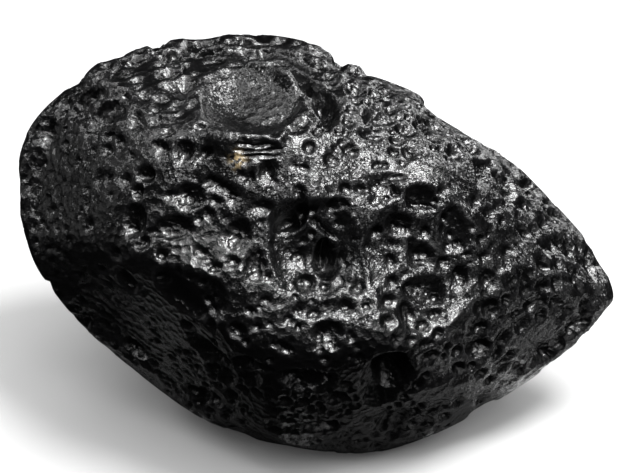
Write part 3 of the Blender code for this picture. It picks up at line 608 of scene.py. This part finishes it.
def hollowed(points):
    """How deep each point of the plain stone is cut: a row for the listed basins, which add up,
    less all that is raised, then a row for each layer, which is as deep as its deepest.
    """
    wavelength, shift, seed = WANDER
    wandering = [waves(points, wavelength, seed + axis) for axis in range(3)]
    shifted = points + shift * np.column_stack(wandering)
    order = np.argsort(shifted[:, 0])
    shifted = shifted[order]
    cuts = np.zeros((4, len(points)))
    taken = [([(0, 0, 0)], [0]) for _ in cuts]

    def add(layer, centre, normal, shape):
        """Cuts one hollow into its layer and notes the place that it takes up."""
        span, cut = dig(shifted, centre, normal, *shape)
        cuts[0, span] += cut.clip(None, 0)
        deep = cut.clip(0, None)
        cuts[layer, span] = np.maximum(cuts[layer, span], deep) if layer else cuts[0, span] + deep
        taken[layer][0].append(centre)
        taken[layer][1].append(min(shape[0], shape[1]))

    centres, normals = front_sites([(hollow.across, hollow.up) for hollow in HOLLOWS])
    for hollow, centre, normal in zip(HOLLOWS, centres, normals):
        layer = layer_of(max(hollow.long, hollow.wide))
        add(0 if layer == 1 else layer, centre, normal, hollow[2:])
        if hollow.depth > BARE_SHARE * min(hollow.long, hollow.wide):
            taken[-1][0].append(centre)
            taken[-1][1].append(min(hollow.long, hollow.wide))
    for pits in PITS:
        layer = layer_of(pits.large * (1 if pits.slim > 0.5 else pits.slim))
        centres, normals, radii = scattered(pits, *taken[layer])
        random = np.random.default_rng(pits.seed + 100)
        for centre, normal, radius in zip(centres, normals, radii):
            wide = radius * pits.slim * random.uniform(*PIT_UNEVEN)
            turn = random.uniform(*pits.turns)
            add(layer, centre, normal, (radius, wide, turn, pits.share * radius, PIT_FLOOR, 0))
    depth = np.empty_like(cuts)
    depth[:, order] = cuts
    return depth


def frosted(points, cuts):
    """How frosted the glass is, from 0 to 1: by place, and less so down in the pits."""
    shine = np.ones(len(points))
    for across, up, out, reach, amount in FROSTED:
        apart = np.linalg.norm(points - (across, up, out), axis=1) / reach
        shine *= 1 - amount * np.exp(-apart ** 4)
    ridge = 1 - (cuts[2:].sum(axis=0) / PIT_SHINE).clip(0, 1)
    clean = ((cuts.max(axis=0) - CLEAN_FROM) / (CLEAN_TO - CLEAN_FROM)).clip(0, 1)
    return (1 - shine.clip(0, 1)) * (FROST_IN_PITS + (1 - FROST_IN_PITS) * ridge) * (1 - clean)


def ridged(points, normals, quads):
    """How sharply the surface stands out at each point, from 0 to 1.

    It is the height over the mean of the neighbours, over the square of their distance.
    """
    first, second = quads.ravel(), np.roll(quads, -1, axis=1).ravel()
    first, second = np.concatenate([first, second]), np.concatenate([second, first])
    share = 1 / np.bincount(first)
    apart = points[first] - points[second]
    height = np.bincount(first, np.einsum("ij,ij->i", apart, normals[first])) * share
    spacing = np.bincount(first, (apart ** 2).sum(axis=1)) * share
    return (RIDGE_GAIN * height / spacing).clip(0, 1)


def chipped(points):
    """The flake's weight at each point, its depth in mm and the way up it in mm."""
    (centre,), (normal,) = front_sites([(CHIP.across, CHIP.up)])
    order = np.argsort(points[:, 0])
    depth = np.zeros(len(points))
    span, cut = dig(points[order], centre, normal, *CHIP[2:])
    depth[order[span]] = cut
    upward = np.cross(normal, unit(np.cross((0.0, 1.0, 0.0), normal)))
    return depth / CHIP.depth, depth, (points - centre) @ upward


def stone_surface(ways, quads):
    """The finished surface in the girdle's frame, and the marks that the glass reads at each point:
    every point of the plain stone moved in along its normal by the sum of its cuts.
    """
    points, normals, _ = patches(ways)
    cuts = hollowed(points)
    frost = frosted(points, cuts)
    stain = np.exp(-(np.linalg.norm(points - STAIN[:3], axis=1) / STAIN[3]) ** 2)
    chip, chip_depth, chip_up = chipped(points)
    points = points - (cuts.sum(axis=0) * (1 - chip) + chip_depth)[:, None] * normals
    return points, {"frost": frost, "ridge": ridged(points, normals, quads), "stain": stain,
                    "chip": chip, "chip_up": chip_up}


def set_down(points):
    """Leaned back by LEAN and flat on its worn face, in mm from the origin.

    It is turned about X, lifted by REST_DROP, and held at height 0 where it would go below.
    """
    across, up, out = points.T
    sine, cosine = math.sin(LEAN), math.cos(LEAN)
    height = (up * cosine + out * sine + REST_DROP).clip(0, None)
    return np.column_stack([across, up * sine - out * cosine, height]) + (*GIRDLE_PLACE, 0)


def ball_grid(steps):
    """Six patches of a unit ball, each a function of two angles: direction (1, tan a, tan b)."""
    lines = [np.tan(np.linspace(-1, 1, count + 1) * math.pi / 4) for count in steps]
    points, quads, start = [], [], 0
    for axis in range(3):
        first, second = (axis + 1) % 3, (axis + 2) % 3
        u, v = np.meshgrid(lines[first], lines[second], indexing="ij")
        row, column = np.meshgrid(*(np.arange(steps[k]) for k in (first, second)), indexing="ij")
        stride = steps[second] + 1
        corner = (row * stride + column).ravel()
        ring = np.column_stack([corner, corner + stride, corner + stride + 1, corner + 1])
        for side in (1, -1):
            patch = np.empty((u.size, 3))
            patch[:, axis], patch[:, first], patch[:, second] = side, u.ravel(), v.ravel()
            points.append(patch)
            quads.append((ring if side > 0 else ring[:, ::-1]) + start)
            start += u.size
    points = unit(np.concatenate(points))
    _, kept, welded = np.unique(
        np.round(points, 9) + 0.0, axis=0, return_index=True, return_inverse=True)
    return points[kept], welded.reshape(-1)[np.concatenate(quads)]


def mesh_from(name, points, quads):
    """A smooth mesh of the given quads."""
    mesh = bpy.data.meshes.new(name)
    mesh.vertices.add(len(points))
    mesh.vertices.foreach_set("co", points.astype(np.float32).ravel())
    mesh.loops.add(quads.size)
    mesh.loops.foreach_set("vertex_index", quads.astype(np.int32).ravel())
    mesh.polygons.add(len(quads))
    mesh.polygons.foreach_set("loop_start", np.arange(0, quads.size, 4, dtype=np.int32))
    mesh.update(calc_edges=True)
    mesh.validate()
    mesh.shade_smooth()
    return mesh


# ---------------------------------------------------------------- settings

class StoneSettings(bpy.types.PropertyGroup):
    """What a user would change on the stone."""

    glass_colour: bpy.props.FloatVectorProperty(
        name="Glass colour", description="Colour of the clean black glass",
        subtype="COLOR", size=4, min=0, max=1, default=(0.0004, 0.0004, 0.00044, 1.0))
    frost_colour: bpy.props.FloatVectorProperty(
        name="Frost colour", description="Colour of the worn, frosted glass",
        subtype="COLOR", size=4, min=0, max=1, default=(0.0022, 0.0022, 0.0024, 1.0))
    ridge_colour: bpy.props.FloatVectorProperty(
        name="Ridge colour", description="Colour of the worn ridges between the pits",
        subtype="COLOR", size=4, min=0, max=1, default=(0.006, 0.006, 0.0064, 1.0))
    facets: bpy.props.FloatProperty(
        name="Facet tilt", description="How far the tiny facets of the frosted glass tilt",
        subtype="FACTOR", min=0, max=2, default=0.62)
    earth_colour: bpy.props.FloatVectorProperty(
        name="Earth colour", description="Colour of the earth caught in the surface",
        subtype="COLOR", size=4, min=0, max=1, default=(0.20, 0.15, 0.08, 1.0))
    shine: bpy.props.FloatProperty(
        name="Glass roughness", description="Roughness of the glossiest glass",
        subtype="FACTOR", min=0, max=1, default=0.23)
    frost: bpy.props.FloatProperty(
        name="Frosted roughness", description="Roughness of the frosted glass",
        subtype="FACTOR", min=0, max=1, default=0.30)
    grain: bpy.props.FloatProperty(
        name="Grain height", description="Height of the finest grain of the glass",
        subtype="DISTANCE", unit="LENGTH", min=0, default=0.00005, precision=6)
    bead: bpy.props.FloatProperty(
        name="Bead depth", description="Depth of the small round beads in the pits",
        subtype="DISTANCE", unit="LENGTH", min=0, default=0.0002, precision=6)
    chip_step: bpy.props.FloatProperty(
        name="Chip steps", description="Height of the steps in the broken flake",
        subtype="DISTANCE", unit="LENGTH", min=0, default=0.00015, precision=6)


class StageSettings(bpy.types.PropertyGroup):
    """What a user would change on the floor, the lights and the camera."""

    floor_colour: bpy.props.FloatVectorProperty(
        name="Floor colour", description="Colour of the plain floor",
        subtype="COLOR", size=4, min=0, max=1, default=(0.30, 0.30, 0.30, 1.0))
    # painted shade: the dark floor that only the glass reflects
    painted_shade_colour: bpy.props.FloatVectorProperty(
        name="Shaded floor colour", description="Colour of the floor that the glass reflects",
        subtype="COLOR", size=4, min=0, max=1, default=(0.02, 0.02, 0.02, 1.0))
    # painted light: pale patches on the floor that only the glass reflects
    painted_light_patch_colour: bpy.props.FloatVectorProperty(
        name="Patch colour", description="Colour of the palest patches on that floor",
        subtype="COLOR", size=4, min=0, max=1, default=(0.70, 0.70, 0.70, 1.0))
    key_power: bpy.props.FloatProperty(
        name="Key light power", description="Power of the round light above the stone",
        subtype="POWER", unit="POWER", min=0, default=4.6)
    key_size: bpy.props.FloatProperty(
        name="Key light size", description="Width of the round light above the stone",
        subtype="DISTANCE", unit="LENGTH", min=0, default=0.17)
    panel_power: bpy.props.FloatProperty(
        name="Soft panel power", description="Power of the broad panel overhead",
        subtype="POWER", unit="POWER", min=0, default=10.0)
    panel_size: bpy.props.FloatProperty(
        name="Soft panel size", description="Width of the broad panel overhead",
        subtype="DISTANCE", unit="LENGTH", min=0, default=1.0)
    fill_power: bpy.props.FloatProperty(
        name="Fill light power", description="Power of the small lamp over the blunt end",
        subtype="POWER", unit="POWER", min=0, default=1.5)
    fill_size: bpy.props.FloatProperty(
        name="Fill light size", description="Width of the small lamp over the blunt end",
        subtype="DISTANCE", unit="LENGTH", min=0, default=0.15)
    back_power: bpy.props.FloatProperty(
        name="Back light power", description="Power of the lamp behind the point",
        subtype="POWER", unit="POWER", min=0, default=2.1)
    back_size: bpy.props.FloatProperty(
        name="Back light size", description="Width of the lamp behind the point",
        subtype="DISTANCE", unit="LENGTH", min=0, default=0.3)
    side_power: bpy.props.FloatProperty(
        name="Side light power", description="Power of the broad weak light beside the point",
        subtype="POWER", unit="POWER", min=0, default=0.6)
    side_size: bpy.props.FloatProperty(
        name="Side light size", description="Width of the broad weak light beside the point",
        subtype="DISTANCE", unit="LENGTH", min=0, default=0.5)
    blunt_power: bpy.props.FloatProperty(
        name="Blunt end lamp power", description="Power of the weak lamp beside the blunt end",
        subtype="POWER", unit="POWER", min=0, default=0.08)
    blunt_size: bpy.props.FloatProperty(
        name="Blunt end lamp size", description="Width of the weak lamp beside the blunt end",
        subtype="DISTANCE", unit="LENGTH", min=0, default=0.25)
    air_glow: bpy.props.FloatProperty(
        name="Air glow", description="Strength of the even light from all round",
        min=0, default=1.0)
    air_reflected: bpy.props.FloatProperty(
        name="Air reflected", description="Strength of what the glass reflects beside the lamps",
        min=0, default=0.010)
    camera_distance: bpy.props.FloatProperty(
        name="Camera distance", description="From the camera to the stone's girdle",
        subtype="DISTANCE", unit="LENGTH", min=0.1, default=0.30)


# ---------------------------------------------------------------- materials

class Graph:
    """Short ways to add and join the nodes of one material."""

    def __init__(self, name):
        self.material = bpy.data.materials.new(name)
        self.material.use_nodes = True
        self.nodes, self.links = self.material.node_tree.nodes, self.material.node_tree.links
        self.shader = self.nodes["Principled BSDF"]
        self.place = self.nodes.new("ShaderNodeTexCoord").outputs["Object"]

    def give(self, socket, value):
        """Sets a socket to a number or a colour, or joins it to another node's output."""
        if isinstance(value, bpy.types.NodeSocket):
            self.links.new(value, socket)
        else:
            socket.default_value = value

    def mark(self, name):
        """A number that the mesh carries at each point."""
        node = self.nodes.new("ShaderNodeAttribute")
        node.attribute_name = name
        return node.outputs["Fac"]

    def noise(self, scale, detail=3.0):
        """A cloudy pattern from 0 to 1, of so many repeats to the metre."""
        node = self.nodes.new("ShaderNodeTexNoise")
        node.inputs["Scale"].default_value = scale
        node.inputs["Detail"].default_value = detail
        self.links.new(self.place, node.inputs["Vector"])
        return node.outputs["Fac"]

    def cells(self, scale, softness):
        """The distance to the nearest of many scattered points, in cells, with soft edges."""
        node = self.nodes.new("ShaderNodeTexVoronoi")
        node.feature = "SMOOTH_F1"
        node.inputs["Scale"].default_value = scale
        node.inputs["Smoothness"].default_value = softness
        self.links.new(self.place, node.inputs["Vector"])
        return node.outputs["Distance"]

    def facets(self, scale, amount):
        """The surface's normal with each tiny cell tilted its own way, by up to amount."""
        cell = self.nodes.new("ShaderNodeTexVoronoi")
        cell.inputs["Scale"].default_value = scale
        self.links.new(self.place, cell.inputs["Vector"])
        centred = self.vector("SUBTRACT", cell.outputs["Color"], (0.5, 0.5, 0.5))
        tilt = self.vector("SCALE", centred, amount)
        surface = self.nodes.new("ShaderNodeNewGeometry").outputs["Normal"]
        return self.vector("NORMALIZE", self.vector("ADD", surface, tilt))

    def vector(self, operation, first, second=None):
        """One step of arithmetic on vectors."""
        node = self.nodes.new("ShaderNodeVectorMath")
        node.operation = operation
        self.give(node.inputs[0], first)
        if second is not None:
            self.give(node.inputs["Scale" if operation == "SCALE" else 1], second)
        return node.outputs["Vector"]

    def math(self, operation, first, second=0.0):
        """One step of arithmetic on numbers."""
        node = self.nodes.new("ShaderNodeMath")
        node.operation = operation
        self.give(node.inputs[0], first)
        self.give(node.inputs[1], second)
        return node.outputs["Value"]

    def remap(self, value, ends, results):
        """value taken from the first pair of ends to the second, and held there."""
        node = self.nodes.new("ShaderNodeMapRange")
        for name, number in zip(("From Min", "From Max", "To Min", "To Max"), (*ends, *results)):
            node.inputs[name].default_value = number
        self.links.new(value, node.inputs["Value"])
        return node.outputs["Result"]

    def mix(self, factor, first, second):
        """The colour that is factor of the way from the first to the second."""
        node = self.nodes.new("ShaderNodeMix")
        node.data_type = "RGBA"
        for name, value in (("Factor", factor), ("A", first), ("B", second)):
            socket = next(s for s in node.inputs if s.name == name and s.enabled)
            self.give(socket, value)
        return next(s for s in node.outputs if s.enabled)

    def bump(self, height, distance, normal=None):
        """The normal of a surface raised by height times distance."""
        node = self.nodes.new("ShaderNodeBump")
        node.inputs["Strength"].default_value = 1.0
        node.inputs["Distance"].default_value = distance
        self.links.new(height, node.inputs["Height"])
        if normal:
            self.links.new(normal, node.inputs["Normal"])
        return node.outputs["Normal"]


def glass_material(settings):
    """Black glass: beaded in its pits, frosted on top, with worn ridges and a bright flake.

    The frost is its mark times a mottled noise. Tiny cells tilt their own way where it is thick,
    small cells stand as beads where it is thin, and a rectified sine up the flake makes its bars.
    """
    graph = Graph("tektite_black_glass")
    shader = graph.shader
    shader.inputs["IOR"].default_value = GLASS_IOR
    plain_frost, chip = graph.mark("frost"), graph.mark("chip")
    mottle = graph.remap(graph.noise(MOTTLES, 4.0), (0.38, 0.63), (0.12, 1.0))
    unchipped = graph.remap(chip, (0.0, 0.5), (1.0, 0.0))
    frost = graph.math("MULTIPLY", graph.math("MULTIPLY", plain_frost, mottle), unchipped)

    cell = graph.cells(BEADS, BEAD_SOFTNESS)
    bead = graph.math("MULTIPLY", graph.math("MULTIPLY", cell, cell),
                      graph.remap(plain_frost, (0.2, 0.8), (1.0, 0.5)))
    tilt = graph.math("MULTIPLY", graph.remap(frost, (0.12, 0.6), (0.1, 1.0)), settings.facets)
    normal = graph.bump(bead, settings.bead, graph.facets(TINY_FACETS, tilt))
    normal = graph.bump(graph.noise(GRAINS, 1.0), settings.grain, normal)
    wobble = graph.remap(graph.noise(BAR_WOBBLES, 2.0), (0.3, 0.7), (-BAR_WOBBLE, BAR_WOBBLE))
    stripe = graph.math("ADD", graph.math("MULTIPLY", graph.mark("chip_up"), FLAKE_BARS), wobble)
    steps = graph.math("MULTIPLY", graph.math("ABSOLUTE", graph.math("SINE", stripe)), chip)
    graph.give(shader.inputs["Normal"], graph.bump(steps, settings.chip_step, normal))

    exposed = graph.remap(plain_frost, (0.0, 0.5), (0.3, 1.0))
    wear = graph.math("MULTIPLY", graph.mark("ridge"), exposed)
    colour = graph.mix(frost, settings.glass_colour, settings.frost_colour)
    colour = graph.mix(wear, colour, settings.ridge_colour)
    specks = graph.remap(graph.noise(EARTH_SPECKS), (0.48, 0.60), (0.0, 1.0))
    earth = graph.math("MULTIPLY", graph.mark("stain"), specks)
    colour = graph.mix(earth, colour, settings.earth_colour)
    graph.give(shader.inputs["Base Color"], colour)
    rough = graph.math("MAXIMUM", graph.remap(frost, (0.0, 0.8), (settings.shine, settings.frost)),
                       graph.remap(wear, (0.0, 1.0), (settings.shine, settings.frost)))
    graph.give(shader.inputs["Roughness"], rough)
    return graph.material


def plain_material(name, colour, roughness):
    """The same colour and roughness all over."""
    material = bpy.data.materials.new(name)
    material.use_nodes = True
    shader = material.node_tree.nodes["Principled BSDF"]
    shader.inputs["Base Color"].default_value = colour
    shader.inputs["Roughness"].default_value = roughness
    return material


def patchy_material(name, dark, pale):
    """Pale patches on a dark ground: a noise held between two levels mixes the two colours,
    painting patches of light on painted shade.
    """
    graph = Graph(name)
    patch = graph.remap(graph.noise(FLOOR_PATCHES, 2.0), (0.53, 0.63), (0.0, 1.0))
    graph.give(graph.shader.inputs["Base Color"], graph.mix(patch, dark, pale))
    return graph.material


# ---------------------------------------------------------------- operators

class TEKTITE_OT_stone(bpy.types.Operator):
    """Make the pitted stone in place of the plain solid"""

    bl_idname = "tektite.stone"
    bl_label = "Tektite stone"

    def execute(self, context):
        ways, quads = ball_grid(PATCH_STEPS)
        ways = unit(ways + (0, 0, FRONT_SHARE))
        points, marks = stone_surface(ways, quads)
        mesh = mesh_from("pitted_stone", set_down(points) * MM, quads)
        for name, values in marks.items():
            layer = mesh.attributes.new(name, "FLOAT", "POINT")
            layer.data.foreach_set("value", values.astype(np.float32))
        mesh.materials.append(glass_material(context.scene.tektite_stone))
        stone = bpy.data.objects.new("pitted_stone", mesh)
        context.scene.collection.objects.link(stone)
        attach(stone, "root")
        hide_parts(SOLID_NODE)
        return {"FINISHED"}


def look_along(thing, place, target):
    """Puts an object at place and turns its -Z to target."""
    thing.location = place
    thing.rotation_euler = (Vector(target) - Vector(place)).to_track_quat("-Z", "Y").to_euler()


def area_light(context, name, place, target, size, power):
    """A round lamp at place that faces target."""
    lamp = bpy.data.lights.new(name, "AREA")
    lamp.shape = "DISK"
    lamp.size = size
    lamp.energy = power
    holder = bpy.data.objects.new(name, lamp)
    context.scene.collection.objects.link(holder)
    look_along(holder, place, target)
    return holder


def floor_oval(context, name, half_sizes, height, surface):
    """An oval of floor: a ring of quads about the origin, with a pinhole in its middle."""
    turn = np.linspace(0, 2 * math.pi, FLOOR_SIDES, endpoint=False)
    rim = np.column_stack([half_sizes[0] * np.cos(turn), half_sizes[1] * np.sin(turn)])
    level = np.full(FLOOR_SIDES, height)
    rings = [np.column_stack([rim * share, level]) for share in (FLOOR_PINHOLE, 1)]
    first = np.arange(FLOOR_SIDES)
    after = np.roll(first, -1)
    quads = np.column_stack([first, first + FLOOR_SIDES, after + FLOOR_SIDES, after])
    mesh = mesh_from(name, np.concatenate(rings), quads)
    mesh.materials.append(surface)
    floor = bpy.data.objects.new(name, mesh)
    context.scene.collection.objects.link(floor)
    return floor


class TEKTITE_OT_stage(bpy.types.Operator):
    """Make the floor, the lights and the camera"""

    bl_idname = "tektite.stage"
    bl_label = "Floor, lights and camera"

    def execute(self, context):
        settings = context.scene.tektite_stage
        girdle = Vector((GIRDLE_PLACE[0], GIRDLE_PLACE[1], REST_DROP)) * MM
        surface = plain_material("pale_floor", settings.floor_colour, FLOOR_ROUGHNESS)
        far_floor = floor_oval(context, "far_floor", FAR_FLOOR, 0.0, surface)
        far_floor.visible_glossy = False
        # A dark oval that only the glass reflects: painted shade on the floor round the stone, with
        # pale patches of painted light.
        shade = patchy_material("painted_shade_floor", settings.painted_shade_colour, settings.painted_light_patch_colour)
        painted_shade_sheet = floor_oval(context, "painted_shade_sheet", NEAR_FLOOR, FLOOR_STEP, shade)
        painted_shade_sheet.location.x = NEAR_PLACE
        painted_shade_sheet.visible_camera = painted_shade_sheet.visible_diffuse = painted_shade_sheet.visible_shadow = False

        for name, way, times, size, power in (
                ("key_light", KEY_WAY, 1, settings.key_size, settings.key_power),
                ("soft_panel", PANEL_WAY, FAR_LIGHT, settings.panel_size, settings.panel_power),
                ("fill_light", FILL_WAY, FAR_LIGHT, settings.fill_size, settings.fill_power),
                ("back_light", BACK_WAY, FAR_LIGHT, settings.back_size, settings.back_power),
                ("side_light", SIDE_WAY, FAR_LIGHT, settings.side_size, settings.side_power),
                ("blunt_lamp", BLUNT_WAY, 1, settings.blunt_size, settings.blunt_power)):
            place = girdle + Vector(way).normalized() * times * LIGHT_DISTANCE
            area_light(context, name, place, girdle, size, power)

        world = bpy.data.worlds.new("studio_air")
        world.use_nodes = True
        nodes, links = world.node_tree.nodes, world.node_tree.links
        air = nodes["Background"]
        rays = nodes.new("ShaderNodeLightPath")
        glow = nodes.new("ShaderNodeMapRange")
        glow.inputs["To Min"].default_value = settings.air_glow
        glow.inputs["To Max"].default_value = settings.air_reflected
        links.new(rays.outputs["Is Glossy Ray"], glow.inputs["Value"])
        links.new(glow.outputs["Result"], air.inputs["Strength"])
        air.inputs["Color"].default_value = (1.0, 1.0, 1.0, 1.0)
        context.scene.world = world
        context.scene.view_settings.view_transform = "Standard"

        lens = bpy.data.cameras.new("front_camera")
        lens.sensor_width = 36.0
        lens.lens = lens.sensor_width * settings.camera_distance / FRAME_WIDTH
        camera = bpy.data.objects.new("front_camera", lens)
        context.scene.collection.objects.link(camera)
        back = Vector((0.0, -math.cos(LEAN), math.sin(LEAN)))
        upward = Vector((0.0, math.sin(LEAN), math.cos(LEAN)))
        target = girdle + Vector((AIM[0], 0, 0)) + upward * AIM[1]
        place = target + back * settings.camera_distance
        camera.matrix_world = Matrix.Translation(place) @ Matrix((
            (1, 0, 0, 0), (0, upward.y, back.y, 0), (0, upward.z, back.z, 0), (0, 0, 0, 1)))
        context.scene.camera = camera
        return {"FINISHED"}


class TEKTITE_PT_panel(bpy.types.Panel):
    """Lists the stone's and the stage's operators and settings"""

    bl_idname = "TEKTITE_PT_panel"
    bl_label = "Tektite"
    bl_space_type = "VIEW_3D"
    bl_region_type = "UI"
    bl_category = "Tektite"

    def draw(self, context):
        for operator, settings in (
                (TEKTITE_OT_stone, context.scene.tektite_stone),
                (TEKTITE_OT_stage, context.scene.tektite_stage)):
            box = self.layout.box()
            for name in settings.__annotations__:
                box.prop(settings, name)
            box.operator(operator.bl_idname)


CLASSES = (StoneSettings, StageSettings, TEKTITE_OT_stone, TEKTITE_OT_stage, TEKTITE_PT_panel)


def register():
    for kind in CLASSES:
        bpy.utils.register_class(kind)
    bpy.types.Scene.tektite_stone = bpy.props.PointerProperty(type=StoneSettings)
    bpy.types.Scene.tektite_stage = bpy.props.PointerProperty(type=StageSettings)


def unregister():
    del bpy.types.Scene.tektite_stage
    del bpy.types.Scene.tektite_stone
    for kind in reversed(CLASSES):
        bpy.utils.unregister_class(kind)


def main():
    """Makes the stone and its stage."""
    register()
    bpy.ops.tektite.stone()
    bpy.ops.tektite.stage()


if __name__ == "__main__":
    main()
